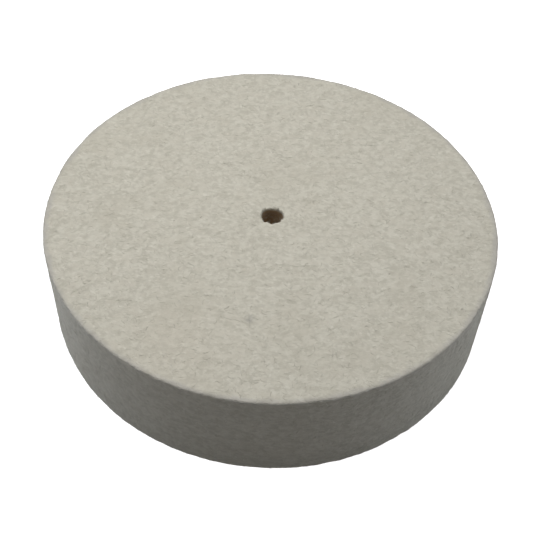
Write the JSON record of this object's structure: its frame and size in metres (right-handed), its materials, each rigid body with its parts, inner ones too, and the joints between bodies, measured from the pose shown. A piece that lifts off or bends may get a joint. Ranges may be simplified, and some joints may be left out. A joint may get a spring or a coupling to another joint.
{
  "type": "felt polishing wheel",
  "caption": "Solid flat disc of pressed wool felt with softly rounded edges and a small plain hole through its middle, for polishing stones on a spindle.",
  "frame": {"origin": "centre of the wheel: on its axis, half way through its thickness", "axes": "+Z along the wheel's axis, so the wheel lies flat; +X and +Y are any two square directions in its middle plane"},
  "size_m": [0.15, 0.15, 0.036],
  "materials": {
    "wool_felt": "matte hard-pressed wool felt, cream grey, short lying fibres"
  },
  "bodies": {
    "root": {"felt_wheel": "wool_felt"}
  },
  "joints": []
}
